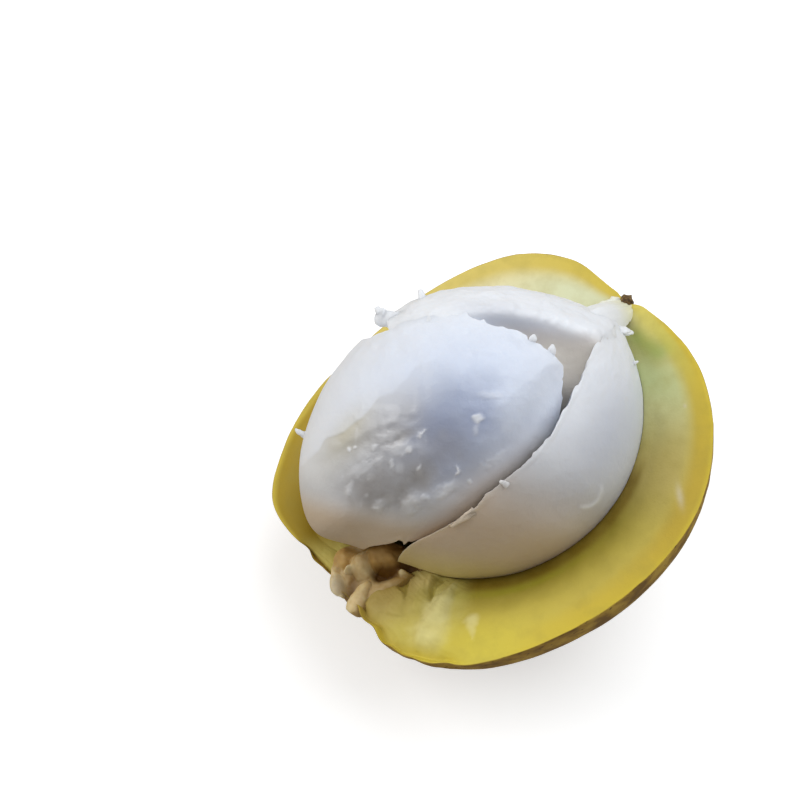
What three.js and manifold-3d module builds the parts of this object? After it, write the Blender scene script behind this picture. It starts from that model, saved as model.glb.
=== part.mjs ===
// Half of a bacuri, a round yellow fruit with a thick rind, lying on its skin with its pulp in place.
// Millimetres, +Z up. The half leans to -X, and its origin is the middle of the bottom of its box.

import * as THREE from 'three';
import { mergeVertices } from 'three/addons/utils/BufferGeometryUtils.js';
import Module from 'manifold-3d';

const wasm = await Module();
wasm.setup();

// Driving dimensions: the fruit
const FRUIT_RADIUS = 48; // middle of the whole fruit to its skin
const CUT_BELOW_MIDDLE = 7; // the knife passed this far below the middle
// How much wider than a circle the rim is, in per cent, every 15 degrees from the stalk end.
const RIM_SWELL = [
  -0.4, -1.3, 6.5, 7.3, 1.3, -4.1, -7.5, -5.8, -1, 3.5, 6.5, 1.5,
  -3.4, -2.3, 5, 5.2, 2, -0.4, 0, 1.7, 3.5, 3.2, 3, 2,
];
const REST_SPOT_DEPTH = 0.95; // the skin is pressed flat this far up, where the half rests
const LEAN = 18; // degrees, the cut face leans to -X
const AXIS_TURN = 42.2; // degrees, the stalk end is turned this far round from +X

// Driving dimensions: the hollow for the pulp, measured from the middle of the whole fruit
const HOLLOW_WIDTH = 36.5; // half of its width
const HOLLOW_DEPTH = 31;
const HOLLOW_STRETCH = 1.11; // it is this much longer from stalk end to torn end than it is wide
const MOUTH_ROUNDING = 5; // the edge of the hollow is rounded over this far down and outward
const TORN_ANGLE = 172; // degrees round from the stalk end, the middle of the torn stretch of rim
const TORN_WIDTH = 24; // degrees, to either side
const TORN_DEPTH = 3;

// Driving dimensions: the pulp, an egg shape of three segments
const PULP_TILT = 27; // degrees, the outlines below are drawn on a plane that faces up and to -Y
const PULP_PLACE = [-4.4, 0.3, 7]; // middle of the pulp, from the middle of the cut face
const PULP_HEIGHT = 31; // half of it, square to that plane
const PULP_BEND = 8; // the stalk end of the pulp bends down this far
const CLEARANCE = 0.35; // between neighbouring solids

const radians = THREE.MathUtils.degToRad;
const smoothstep = THREE.MathUtils.smoothstep;

// ---- Helpers -------------------------------------------------------------------------------

// The geometry with each vertex moved to where move(point, u, v) puts it.
function reshape(geometry, move) {
  const position = geometry.attributes.position;
  const uv = geometry.attributes.uv;
  const point = new THREE.Vector3();
  for (let i = 0; i < position.count; i++) {
    point.fromBufferAttribute(position, i);
    move(point, uv.getX(i), uv.getY(i));
    position.setXYZ(i, point.x, point.y, point.z);
  }
  return weld(geometry);
}

// Only positions, with shared vertices merged, so that the faces close on each other.
function weld(geometry) {
  geometry.deleteAttribute('normal');
  geometry.deleteAttribute('uv');
  return mergeVertices(geometry, 1e-3);
}

function toSolid(geometry) {
  const mesh = new wasm.Mesh({
    numProp: 3,
    vertProperties: new Float32Array(geometry.attributes.position.array),
    triVerts: new Uint32Array(geometry.index.array),
  });
  return new wasm.Manifold(mesh);
}

// The largest body of a solid, as a geometry.
function toGeometry(solid) {
  const bodies = solid.decompose().sort((a, b) => b.volume() - a.volume());
  const mesh = bodies[0].getMesh();
  const geometry = new THREE.BufferGeometry();
  geometry.setAttribute('position', new THREE.BufferAttribute(mesh.vertProperties, 3));
  geometry.setIndex(new THREE.BufferAttribute(mesh.triVerts, 1));
  return geometry;
}

// A geometry drawn in one group's frame, as a solid in another group's frame.
function solidFrom(geometry, fromGroup, toGroup) {
  const matrix = toGroup.matrixWorld.clone().invert().multiply(fromGroup.matrixWorld);
  return toSolid(geometry.clone().applyMatrix4(matrix));
}

function finish(color, roughness) {
  return new THREE.MeshStandardMaterial({ color, roughness, metalness: 0, flatShading: true });
}

function named(name, geometry, material) {
  const mesh = new THREE.Mesh(geometry, material);
  mesh.name = name;
  return mesh;
}

// ---- Frames --------------------------------------------------------------------------------

// The half's own frame: z along the normal of the cut face, x towards the stalk end.
const part = new THREE.Group();
const leaning = new THREE.Group();
leaning.rotation.y = -radians(LEAN);
part.add(leaning);
const half = new THREE.Group();
half.rotation.z = radians(AXIS_TURN);
leaning.add(half);

// The pulp's frame: its outlines are drawn in x and y, and z is height towards the open side.
const pulp = new THREE.Group();
pulp.position.set(...PULP_PLACE);
pulp.rotation.x = radians(PULP_TILT);
part.add(pulp);
part.updateMatrixWorld(true);

// ---- Rind ----------------------------------------------------------------------------------

// Angle between two directions round the rim, in degrees, 0 to 180.
function angleBetween(a, b) {
  return Math.abs(((a - b + 540) % 360) - 180);
}

// Half profile of the rind, from the skin's bottom pole up to the rim and down to the hollow's pole.
function rindProfile() {
  const points = [];
  const add = (radius, height, stretch) => points.push({ radius, height, stretch });
  const rimAngle = Math.acos(CUT_BELOW_MIDDLE / FRUIT_RADIUS);
  const skinSteps = 11;
  for (let i = 0; i <= skinSteps; i++) {
    const angle = (rimAngle * i) / skinSteps;
    add(FRUIT_RADIUS * Math.sin(angle), CUT_BELOW_MIDDLE - FRUIT_RADIUS * Math.cos(angle), 1);
  }
  const wallTop = Math.acos((CUT_BELOW_MIDDLE + MOUTH_ROUNDING) / HOLLOW_DEPTH);
  const wallRadius = HOLLOW_WIDTH * Math.sin(wallTop);
  const edge = new THREE.QuadraticBezierCurve(
    new THREE.Vector2(wallRadius + 1.5 * MOUTH_ROUNDING, 0),
    new THREE.Vector2(wallRadius + 0.5 * MOUTH_ROUNDING, 0),
    new THREE.Vector2(wallRadius, -MOUTH_ROUNDING),
  );
  add((FRUIT_RADIUS + edge.v0.x) / 2, 0, (1 + HOLLOW_STRETCH) / 2);
  for (const point of edge.getPoints(4)) {
    add(point.x, point.y, HOLLOW_STRETCH);
  }
  const wallSteps = 6;
  for (let i = wallSteps - 1; i >= 0; i--) {
    const angle = (wallTop * i) / wallSteps;
    add(HOLLOW_WIDTH * Math.sin(angle), CUT_BELOW_MIDDLE - HOLLOW_DEPTH * Math.cos(angle), HOLLOW_STRETCH);
  }
  return points;
}

// How much wider than a circle the fruit is in one direction, as a share of its radius: a smooth
// closed curve through the values of RIM_SWELL.
const swellCurve = new THREE.CatmullRomCurve3(
  RIM_SWELL.map((percent, i) => new THREE.Vector3(i, percent / 100, 0)), true, 'catmullrom', 0.5,
);

function rimSwell(angle) {
  return swellCurve.getPoint((angle / (2 * Math.PI) + 1) % 1).y;
}

// The profile carried round the fruit's axis, swelled at four corners and torn at one end.
// A margin makes the hollow narrower and the cut face higher, for cutting the pulp with.
function rindGeometry(margin = 0) {
  const profile = rindProfile();
  const outline = profile.map((p) => new THREE.Vector2(p.radius, p.height));
  const geometry = new THREE.LatheGeometry(outline, 60).rotateX(Math.PI / 2);
  return reshape(geometry, (point, u, v) => {
    const { radius, height, stretch } = profile[Math.round(v * (profile.length - 1))];
    const angle = Math.atan2(point.y, point.x);
    const hollowed = stretch > 1 ? margin : 0;
    const swell = 1 + rimSwell(angle) * (radius / FRUIT_RADIUS) ** 2;
    const reach = Math.max(0, radius * swell - hollowed);
    const fromTear = angleBetween(THREE.MathUtils.radToDeg(angle), TORN_ANGLE);
    const torn = height > -MOUTH_ROUNDING ? TORN_DEPTH * (1 - smoothstep(fromTear, 0, TORN_WIDTH)) : 0;
    const raised = height > -MOUTH_ROUNDING || hollowed > 0 ? margin : 0;
    point.x = reach * Math.cos(angle) * stretch;
    point.y = reach * Math.sin(angle);
    point.z = height - torn + raised;
  });
}

// Everything under the surface that the half rests on.
function restCutter(surfaceHeight) {
  const block = new THREE.BoxGeometry(60, 60, 20).translate(0, 0, surfaceHeight - 10);
  return solidFrom(weld(block), part, half);
}

const middleHeight = CUT_BELOW_MIDDLE * Math.cos(radians(LEAN));
const surfaceHeight = middleHeight - FRUIT_RADIUS + REST_SPOT_DEPTH;

function rindHalf(stub) {
  const solid = toSolid(rindGeometry()).subtract(restCutter(surfaceHeight)).subtract(toSolid(stub));
  return named('rind_half', toGeometry(solid), finish(0xc1b04d, 0.45));
}

// ---- Stalk ---------------------------------------------------------------------------------

const STUB_RADIUS = 1.5;
const STUB_LENGTH = 3.9;
const STUB_PLACE = [45.1, 7.2, -0.2]; // in the rim, at the stalk end

function stubGeometry(margin = 0) {
  const radius = STUB_RADIUS + margin;
  const stub = new THREE.CylinderGeometry(1.15 * radius, radius, STUB_LENGTH + 2 * margin, 10);
  stub.rotateZ(-Math.PI / 2).rotateY(radians(-9)).rotateZ(radians(9)).translate(...STUB_PLACE);
  return weld(stub);
}

function stalkStub() {
  return named('stalk_stub', stubGeometry(), finish(0x54391c, 0.8));
}

// ---- Pulp ----------------------------------------------------------------------------------

// The pulp's outline, anticlockwise from the stalk end, seen from the open side.
const EGG_OUTLINE = [
  [32.5, 26.5], [24.5, 29], [16, 31], [6.5, 32], [-3, 31], [-12, 28.5], [-20, 23.5], [-28, 15],
  [-33.5, 5.5], [-36.5, -7], [-35.5, -18], [-31.5, -25], [-23, -27], [-12, -29.5], [0, -31.5],
  [13, -29.5], [24.5, -23], [33.5, -12.5], [37.5, 0.5], [37, 14],
];

function closedCurve(outline) {
  const points = outline.map(([x, y]) => new THREE.Vector3(x, y, 0));
  return new THREE.CatmullRomCurve3(points, true, 'catmullrom', 0.5);
}

// How far the pulp's outline is from its middle, in one direction.
const eggEdge = closedCurve(EGG_OUTLINE).getPoints(360).map((point) => ({
  angle: Math.atan2(point.y, point.x),
  reach: Math.hypot(point.x, point.y),
}));
eggEdge.sort((a, b) => a.angle - b.angle);

function eggReach(angle) {
  const found = eggEdge.findIndex((sample) => sample.angle >= angle);
  const next = eggEdge[Math.max(found, 0)];
  const last = eggEdge[found > 0 ? found - 1 : eggEdge.length - 1];
  if (found <= 0) {
    return last.reach;
  }
  return THREE.MathUtils.mapLinear(angle, last.angle, next.angle, last.reach, next.reach);
}

// Height of the pulp's egg shape over its middle plane, 0 outside its outline.
function eggHeight(x, y) {
  const share = Math.hypot(x, y) / eggReach(Math.atan2(y, x));
  return PULP_HEIGHT * Math.sqrt(Math.max(0, 1 - share ** 2));
}

// Distance of a point from a place, along and across a direction.
function turnedOffset(x, y, place, degrees) {
  const [dx, dy] = [x - place[0], y - place[1]];
  const [c, s] = [Math.cos(radians(degrees)), Math.sin(radians(degrees))];
  return { along: dx * c + dy * s, across: dy * c - dx * s };
}

// The pulp's middle plane bends down towards the stalk end.
function bend(x, y) {
  const { along } = turnedOffset(x, y, [0, 0], 37);
  return -PULP_BEND * (Math.max(0, along) / 42) ** 2;
}

// The front segment falls away towards the right one, below the egg shape.
function frontHeight(x, y) {
  const { along } = turnedOffset(x, y, [0, 0], -35);
  return eggHeight(x, y) - 0.045 * Math.max(0, along) ** 2;
}

// The back segment has a long hollow in its open side, where the front one pulled away from it.
function backHeight(x, y) {
  const { along, across } = turnedOffset(x, y, [12, 14], -12);
  return eggHeight(x, y) - 13 * Math.exp(-((along / 15) ** 2) - (across / 9) ** 2);
}

// Each segment has a stretch of the pulp's outline, then its own inner edge, anticlockwise.
const SEGMENTS = {
  front: {
    height: frontHeight,
    middle: [-8.5, -1.5],
    outer: EGG_OUTLINE.slice(7, 13),
    inner: [[-15, -24.5], [-6, -20], [4, -13], [11, -7.5], [16.5, 1], [18.5, 9.5], [16.5, 16.5],
      [10, 20], [2, 22], [-6, 23], [-15.5, 21]],
  },
  right: {
    height: eggHeight,
    middle: [24, -7],
    outer: [...EGG_OUTLINE.slice(13), EGG_OUTLINE[0]],
    inner: [[27.5, 23], [24.5, 15.5], [19.5, 6], [14, -3], [6, -11], [-1.5, -16.5], [-8, -21]],
  },
  back: {
    height: backHeight,
    middle: [8.5, 19],
    outer: EGG_OUTLINE.slice(0, 7),
    inner: [[-14, 14], [0, 6], [12, 1], [20, 1], [26, 12], [30, 20]],
  },
};

// A sphere whose equator is pulled to the segment's outline. Its upper half follows the height
// of the open side, and its lower half falls steeply from there to the egg shape's underside.
function segmentGeometry({ height, middle, outer, inner }, margin = 0) {
  const edge = closedCurve([...outer.map(([x, y]) => [0.985 * x, 0.985 * y]), ...inner]);
  const [middleX, middleY] = middle;
  const ball = new THREE.SphereGeometry(1, 40, 16).rotateX(Math.PI / 2);
  return reshape(ball, (point) => {
    const reach = Math.min(1, Math.hypot(point.x, point.y));
    const turn = (Math.atan2(point.y, point.x) / (2 * Math.PI) + 1) % 1;
    const rim = edge.getPoint(turn);
    const grown = 1 + margin / Math.hypot(rim.x - middleX, rim.y - middleY);
    const x = middleX + reach * grown * (rim.x - middleX);
    const y = middleY + reach * grown * (rim.y - middleY);
    const rimLift = height(rim.x, rim.y) + eggHeight(rim.x, rim.y);
    const under = -eggHeight(x, y) + rimLift * reach ** 8;
    const upper = point.z > -1e-6;
    const side = upper ? height(x, y) + margin : Math.min(under, height(x, y)) - margin;
    point.set(x, y, side + bend(x, y));
  });
}

function pulpSegment(name, segment, neighbours, color) {
  let solid = toSolid(segmentGeometry(segment));
  solid = solid.subtract(solidFrom(rindGeometry(CLEARANCE), half, pulp));
  for (const neighbour of neighbours) {
    solid = solid.subtract(toSolid(segmentGeometry(neighbour, CLEARANCE)));
  }
  return named(name, toGeometry(solid), finish(color, 0.35));
}

// ---- Small pieces --------------------------------------------------------------------------

// A lump: a ball of three half sizes, with a soft wave of its surface, sloping down towards x.
function lump(size, place, wave, slope = 0) {
  const ball = new THREE.SphereGeometry(1, 20, 12).rotateX(Math.PI / 2);
  const shaped = reshape(ball, (point) => {
    const swell = 1 + wave * Math.sin(4 * point.x + 1) * Math.cos(3 * point.y);
    point.multiplyScalar(swell).multiply(new THREE.Vector3(...size));
  });
  return shaped.rotateY(radians(slope)).translate(...place);
}

// The white web that ties the segments to the stalk end, over the edge of the hollow.
function pulpNeck(cutters) {
  let solid = toSolid(lump([9, 6, 4], [39.5, 3.4, 5], 0.1, 50));
  for (const cutter of cutters) {
    solid = solid.subtract(cutter);
  }
  return named('pulp_neck', toGeometry(solid), finish(0xe6e8ec, 0.45));
}

// Torn tan tissue on the rim, opposite the stalk.
function placentaRemnant(cutters) {
  let solid = toSolid(lump([7.5, 7.5, 4], [-38, -3.6, -1], 0.15));
  for (const cutter of cutters) {
    solid = solid.subtract(cutter);
  }
  return named('placenta_remnant', toGeometry(solid), finish(0x9b8450, 0.35));
}

// ---- Assembly ------------------------------------------------------------------------------

const { front, right, back } = SEGMENTS;
half.add(rindHalf(stubGeometry(CLEARANCE)));
half.add(stalkStub());
pulp.add(pulpSegment('pulp_segment_right', right, [], 0xc4c9d3));
pulp.add(pulpSegment('pulp_segment_front', front, [right], 0xdcdfe6));
pulp.add(pulpSegment('pulp_segment_back', back, [right, front], 0xd2d2d0));

const keepOff = [
  toSolid(rindGeometry(CLEARANCE)),
  toSolid(stubGeometry(CLEARANCE)),
  ...[front, right, back].map((s) => solidFrom(segmentGeometry(s, CLEARANCE), pulp, half)),
];
half.add(pulpNeck(keepOff));
half.add(placentaRemnant(keepOff));

const box = new THREE.Box3().setFromObject(part, true);
part.position.set(-(box.min.x + box.max.x) / 2, -(box.min.y + box.max.y) / 2, -surfaceHeight);

export default part;
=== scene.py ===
# %% [markdown]
# # Half of a bacuri, lying on its skin
# A bacuri is a round yellow fruit of the Amazon with a thick rind. Inside lie a few segments of
# white, moist pulp, tied to the stalk end by strands. Here one half lies on its skin with the pulp
# still in place. Every surface below is a formula worked out on a grid, because a fruit has no flat
# panels: its shape is a few smooth swells, and its charm is in the small torn and ragged places.

# %% The frame that everything is built around
import bpy
import numpy as np
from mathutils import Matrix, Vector


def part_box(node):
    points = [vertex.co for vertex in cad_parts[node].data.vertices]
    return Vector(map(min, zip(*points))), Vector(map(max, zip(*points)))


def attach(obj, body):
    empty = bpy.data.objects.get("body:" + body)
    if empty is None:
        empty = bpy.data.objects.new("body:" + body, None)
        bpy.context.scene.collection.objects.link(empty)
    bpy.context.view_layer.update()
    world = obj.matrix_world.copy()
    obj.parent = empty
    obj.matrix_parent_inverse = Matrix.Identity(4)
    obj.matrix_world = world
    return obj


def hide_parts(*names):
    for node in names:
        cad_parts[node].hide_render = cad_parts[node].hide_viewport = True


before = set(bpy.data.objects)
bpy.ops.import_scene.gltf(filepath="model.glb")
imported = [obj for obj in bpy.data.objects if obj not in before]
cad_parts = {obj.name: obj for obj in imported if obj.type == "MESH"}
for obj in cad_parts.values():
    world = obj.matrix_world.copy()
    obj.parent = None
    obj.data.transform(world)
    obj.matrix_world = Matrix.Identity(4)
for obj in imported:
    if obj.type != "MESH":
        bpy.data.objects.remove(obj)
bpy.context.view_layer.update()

# %% [markdown]
# ## Helpers for smooth formulas
# A soft step, a soft bump and a soft noise do most of the shaping. Noise could come from Blender's
# own textures, but as a formula on arrays it can also move vertices, so that the ragged places are
# real geometry. It is seeded, so the fruit is the same every time.

# %% Soft step, soft bump and soft noise
MM = 0.001  # lengths below are in millimetres, and the meshes are in metres
LATTICE = 64  # noise repeats after this many cells


def soft_step(value, low, high):
    """0 at low, 1 at high, and 3t^2 - 2t^3 between them. low may be the larger one."""
    t = np.clip((value - low) / (high - low), 0, 1)
    return t * t * (3 - 2 * t)


def soft_bump(distance, width):
    """1 at distance 0, falling off as exp(-(distance / width)^2)."""
    return np.exp(-((distance / width) ** 2))


def soft_noise(points, size, seed):
    """Random values on a cubic grid with that spacing, blended smoothly between corners: -1 to 1."""
    lattice = np.random.default_rng(seed).uniform(-1, 1, (LATTICE, LATTICE, LATTICE))
    scaled = np.asarray(points) / size + (LATTICE + 1) / 2
    cell = np.floor(scaled).astype(int)
    t = scaled - cell
    t = t * t * (3 - 2 * t)
    total = np.zeros(scaled.shape[:-1])
    for corner in np.ndindex(2, 2, 2):
        weight = np.prod(np.where(np.array(corner) == 1, t, 1 - t), axis=-1)
        i, j, k = np.moveaxis((cell + corner) % LATTICE, -1, 0)
        total += weight * lattice[i, j, k]
    return total


def layered_noise(points, size, seed, layers=3):
    """Soft noise, plus half as much at half the size, and so on."""
    return sum(soft_noise(points, size / 2**n, seed + n) / 2**n for n in range(layers))


# %% Points, and shapes drawn on a plane
def points_at(x, y, z):
    """Points from their three coordinates, which may be numbers or arrays that fit each other."""
    return np.stack(np.broadcast_arrays(x, y, z), -1)


def on_plane(x, y):
    """Points at height 0, as places to look noise up at."""
    return points_at(x, y, 0)


def nearest(x, y, start, end):
    """The nearest place of a straight piece, as a share of the way along it, and how far away it is."""
    start, end = np.array(start, float), np.array(end, float)
    step = end - start
    t = np.clip(((x - start[0]) * step[0] + (y - start[1]) * step[1]) / (step @ step), 0, 1)
    return t, np.hypot(x - start[0] - t * step[0], y - start[1] - t * step[1])


def stroke(x, y, start, end, width):
    """A soft bump of the distance to a straight piece."""
    return soft_bump(nearest(x, y, start, end)[1], width)


def wedge(x, y, start, end, width):
    """1 along a straight piece, with soft edges, over a width that shrinks to almost 0 at its end."""
    t, distance = nearest(x, y, start, end)
    return np.sqrt(1 - t) * soft_step(distance / (width * (1.1 - t)), 1.4, 0.3)


def along_across(x, y, place, degrees):
    """Distances from a place, along and across a direction."""
    c, s = np.cos(np.radians(degrees)), np.sin(np.radians(degrees))
    dx, dy = x - place[0], y - place[1]
    return dx * c + dy * s, dy * c - dx * s


def oval(x, y, place, degrees, long, short):
    """1 at a place, fading to 0 in an ellipse: exp(-(along / long)^2 - (across / short)^2)."""
    along, across = along_across(x, y, place, degrees)
    return np.exp(-((along / long) ** 2) - (across / short) ** 2)


def quadratic(a, b, c, t):
    """The quadratic Bezier curve from a to c, drawn towards b."""
    return (1 - t) ** 2 * a + 2 * t * (1 - t) * b + t**2 * c


# %% [markdown]
# ## From a grid to a mesh
# A shape comes as rows of points. Each row goes once round the shape, and the first and last rows
# shrink to a single point, the poles. Faces could be made one by one in a loop, but whole arrays of
# corner numbers are faster and shorter. Which way the faces look is measured: the volume inside is a
# sum of small pyramids, and if it comes out negative, the faces are turned over.


# %% Mesh from rows of points
def grid_faces(rows, columns, first):
    """Corner numbers of the quads between rows, and of the triangles that close both poles."""
    ring = first + 1 + np.arange((rows - 2) * columns).reshape(rows - 2, columns)
    after = np.roll(ring, -1, axis=1)
    quads = np.stack([ring[:-1], after[:-1], after[1:], ring[1:]], -1).reshape(-1, 4)
    last = np.full(columns, first + 1 + (rows - 2) * columns)
    start = np.full(columns, first)
    fans = np.concatenate([
        np.stack([start, after[0], ring[0]], -1),
        np.stack([last, ring[-1], after[-1]], -1),
    ])
    return quads, fans


def signed_volume(grid):
    """A sixth of the sum of a . (b x c) over the triangles of the grid, measured from its middle."""
    points = grid - grid.mean(axis=(0, 1))
    a, b = points[:-1], np.roll(points, -1, axis=1)[:-1]
    c, d = np.roll(points, -1, axis=1)[1:], points[1:]
    return (np.sum(a * np.cross(b, c)) + np.sum(a * np.cross(c, d))) / 6


def closed_surface(name, shapes, attributes=None):
    """A mesh object of one or more closed grids in millimetres, with one number per point for each
    attribute."""
    vertices, quads, fans = [], [], []
    first = 0
    for grid in shapes:
        rows, columns = grid.shape[:2]
        vertices.append(np.concatenate([grid[0, :1], grid[1:-1].reshape(-1, 3), grid[-1, :1]]))
        order = 1 if signed_volume(grid) > 0 else -1
        q, f = grid_faces(rows, columns, first)
        quads.append(q[:, ::order])
        fans.append(f[:, ::order])
        first += 2 + (rows - 2) * columns
    mesh = bpy.data.meshes.new(name)
    faces = np.concatenate(quads).tolist() + np.concatenate(fans).tolist()
    mesh.from_pydata((np.concatenate(vertices) * MM).tolist(), [], faces)
    for key, grids in (attributes or {}).items():
        values = [np.concatenate([g[0, :1], g[1:-1].ravel(), g[-1, :1]]) for g in grids]
        data = mesh.attributes.new(key, "FLOAT", "POINT").data
        data.foreach_set("value", np.concatenate(values).astype(np.float32))
    mesh.shade_smooth()
    piece = bpy.data.objects.new(name, mesh)
    bpy.context.scene.collection.objects.link(piece)
    print(f"{name}: {sum(len(p.vertices) - 2 for p in mesh.polygons)} triangles")
    return piece


def closed_curve(outline, steps):
    """A smooth closed curve through the outline's points, by the Catmull-Rom formula: between two
    points, a cubic whose slope at each is half the step between that point's neighbours."""
    points = np.asarray(outline, float)
    count = len(points)
    along = np.arange(steps) * count / steps
    k = np.floor(along).astype(int)
    t = (along - k)[:, None]
    before, here, after, beyond = (points[(k + shift) % count] for shift in (-1, 0, 1, 2))
    slope_here = (after - before) / 2
    slope_after = (beyond - here) / 2
    return (
        (2 * t**3 - 3 * t**2 + 1) * here
        + (t**3 - 2 * t**2 + t) * slope_here
        + (3 * t**2 - 2 * t**3) * after
        + (t**3 - t**2) * slope_after
    )


# %% [markdown]
# ## Sizes and frames
# The half is drawn in a frame of its own: z stands square on the cut face and x points to the stalk
# end. It lies on its side a little, so that frame leans by 18 degrees. The pulp has a frame too,
# tilted towards the viewer.

# %% Sizes and frames
FRUIT_RADIUS = 48.0  # middle of the whole fruit to its skin
CUT_BELOW_MIDDLE = 7.0  # the knife passed this far below the middle
LEAN = np.radians(18)
AXIS_TURN = np.radians(42.2)
PULP_TILT = np.radians(27)
PULP_PLACE = np.array([-4.4, 0.3, 7.0])  # middle of the pulp, from the middle of the cut face
X, Y, Z = range(3)  # where a point's coordinates stand in an array


def turn_about(axis, angle):
    """The matrix of a turn about the x, y or z axis: cosines on the diagonal, and sines beside them."""
    matrix = np.eye(3)
    i, j = (axis + 1) % 3, (axis + 2) % 3
    matrix[i, i] = matrix[j, j] = np.cos(angle)
    matrix[j, i] = np.sin(angle)
    matrix[i, j] = -np.sin(angle)
    return matrix


HALF_TURN = turn_about(Y, -LEAN) @ turn_about(Z, AXIS_TURN)
PULP_TURN = turn_about(X, PULP_TILT)

# %% [markdown]
# ## The egg that the pulp makes up
# Seen square on, the segments together are an egg with an outline of its own. The egg comes first,
# because the hollow of the rind grew round it and must hug it.

# %% The egg
PULP_HEIGHT = 31.0
PULP_SIZE = 0.975  # the pulp has shrunk a little from the hollow that grew round it
PULP_BEND = 8.0  # how far the egg bends down at BEND_LENGTH from its middle
BEND_DIRECTION, BEND_LENGTH = 37, 42
EGG_OUTLINE = [
    (31.0, 26.6), (24.6, 29.6), (16, 31.8), (6.5, 32.8), (-3, 31.8), (-12, 29.1), (-20.1, 23.8),
    (-28, 15), (-33.5, 5.5), (-36.6, -7), (-35.6, -18), (-31.6, -25.2), (-23, -27.4), (-12, -30),
    (0, -32.1), (13, -30), (24.6, -23.3), (33.5, -12.5), (37.6, 0.5), (36.8, 14.0),
]
CURVE_STEPS = 720
egg_edge = closed_curve(EGG_OUTLINE, CURVE_STEPS)
egg_angle = np.arctan2(egg_edge[:, 1], egg_edge[:, 0])
egg_order = np.argsort(egg_angle)


def egg_share(x, y):
    """How far out a point is: its distance over the outline's distance in the same direction."""
    edge = np.hypot(egg_edge[:, 0], egg_edge[:, 1])[egg_order]
    return np.hypot(x, y) / np.interp(np.arctan2(y, x), egg_angle[egg_order], edge, period=2 * np.pi)


def egg_height(x, y):
    """Half the pulp's thickness: PULP_HEIGHT times the square root of 1 - (share / PULP_SIZE)^2."""
    return PULP_HEIGHT * np.sqrt(np.clip(1 - (egg_share(x, y) / PULP_SIZE) ** 2, 0, 1))


def egg_bend(x, y):
    """The egg's middle plane bends down towards the stalk end, by the square of the distance."""
    along, _ = along_across(x, y, (0, 0), BEND_DIRECTION)
    return -PULP_BEND * (np.maximum(0, along) / BEND_LENGTH) ** 2


def outside_egg(half_points):
    """Below 0 inside the egg: share^2 + (height over the bent plane / PULP_HEIGHT)^2 - 1, for points
    in the half's frame."""
    x, y, z = np.moveaxis((half_points @ HALF_TURN.T - PULP_PLACE) @ PULP_TURN, -1, 0)
    return egg_share(x, y) ** 2 + ((z - egg_bend(x, y)) / PULP_HEIGHT) ** 2 - 1


def reach_to_egg(start, directions, far=70.0, halvings=34):
    """Distance from a point inside the egg to its surface, found by halving the span again and again."""
    low, high = np.zeros(directions.shape[:-1]), np.full(directions.shape[:-1], far)
    for _ in range(halvings):
        middle = (low + high) / 2
        outside = outside_egg(start + middle[..., None] * directions) > 0
        low, high = np.where(outside, low, middle), np.where(outside, middle, high)
    return low


# %% [markdown]
# ## The rind
# The rind is one grown piece: waxy skin outside, thick flesh inside, and the hollow where the pulp
# lay. It could be carved out of a ball with boolean cuts, but then the mesh would be ragged where
# fine detail is wanted. Here one profile runs from the skin's lowest point up to the rim, over the
# cut face, round the soft edge of the hollow and down to its floor, and is carried round the fruit.

# %% Profile of the rind
# how much wider than a circle the rim is, in per cent, every 15 degrees from the stalk end
RIM_SWELL = [
    -0.4, -1.3, 6.5, 7.3, 1.3, -4.1, -7.5, -5.8, -1.0, 3.5, 6.5, -2.8,
    -6.6, -3.8, 5.0, 5.2, 2.0, -0.4, 0.0, 1.7, 3.5, 3.2, 3.0, 2.0,
]
MOUTH_ROUNDING = 3.0  # how deep the soft edge of the hollow reaches
MOUTH_DIP = 1.6  # the flesh sinks towards the hollow
TIGHT_ANGLE, TIGHT_WIDTH, TIGHTER = -12, 42, 0.55  # where that edge is sharper, and by how much
PULP_GAP = 0.3
MOUTH_CLOSES = 1.2  # the flesh leans back onto the pulp at the edge of the hollow
SKIN_ROWS, FACE_ROWS, EDGE_ROWS, WALL_ROWS = 74, 60, 32, 30
AROUND = 480
CROWDED_ANGLE = 197  # the columns stand closer together where the flesh is torn
CLOSER = 0.5  # and this much closer

swell_curve = closed_curve([(0, percent / 100) for percent in RIM_SWELL], CURVE_STEPS)[:, 1]


def rim_swell(angle):
    """A smooth closed curve through the values of RIM_SWELL, as a share of the radius."""
    degrees = np.arange(CURVE_STEPS + 1) * 360 / CURVE_STEPS
    return np.interp(np.degrees(angle) % 360, degrees, np.append(swell_curve, swell_curve[0]))


def angle_from(angle, degrees):
    """Distance in degrees, 0 to 180, from one direction round the fruit."""
    return np.abs((np.degrees(angle) - degrees + 540) % 360 - 180)


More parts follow.
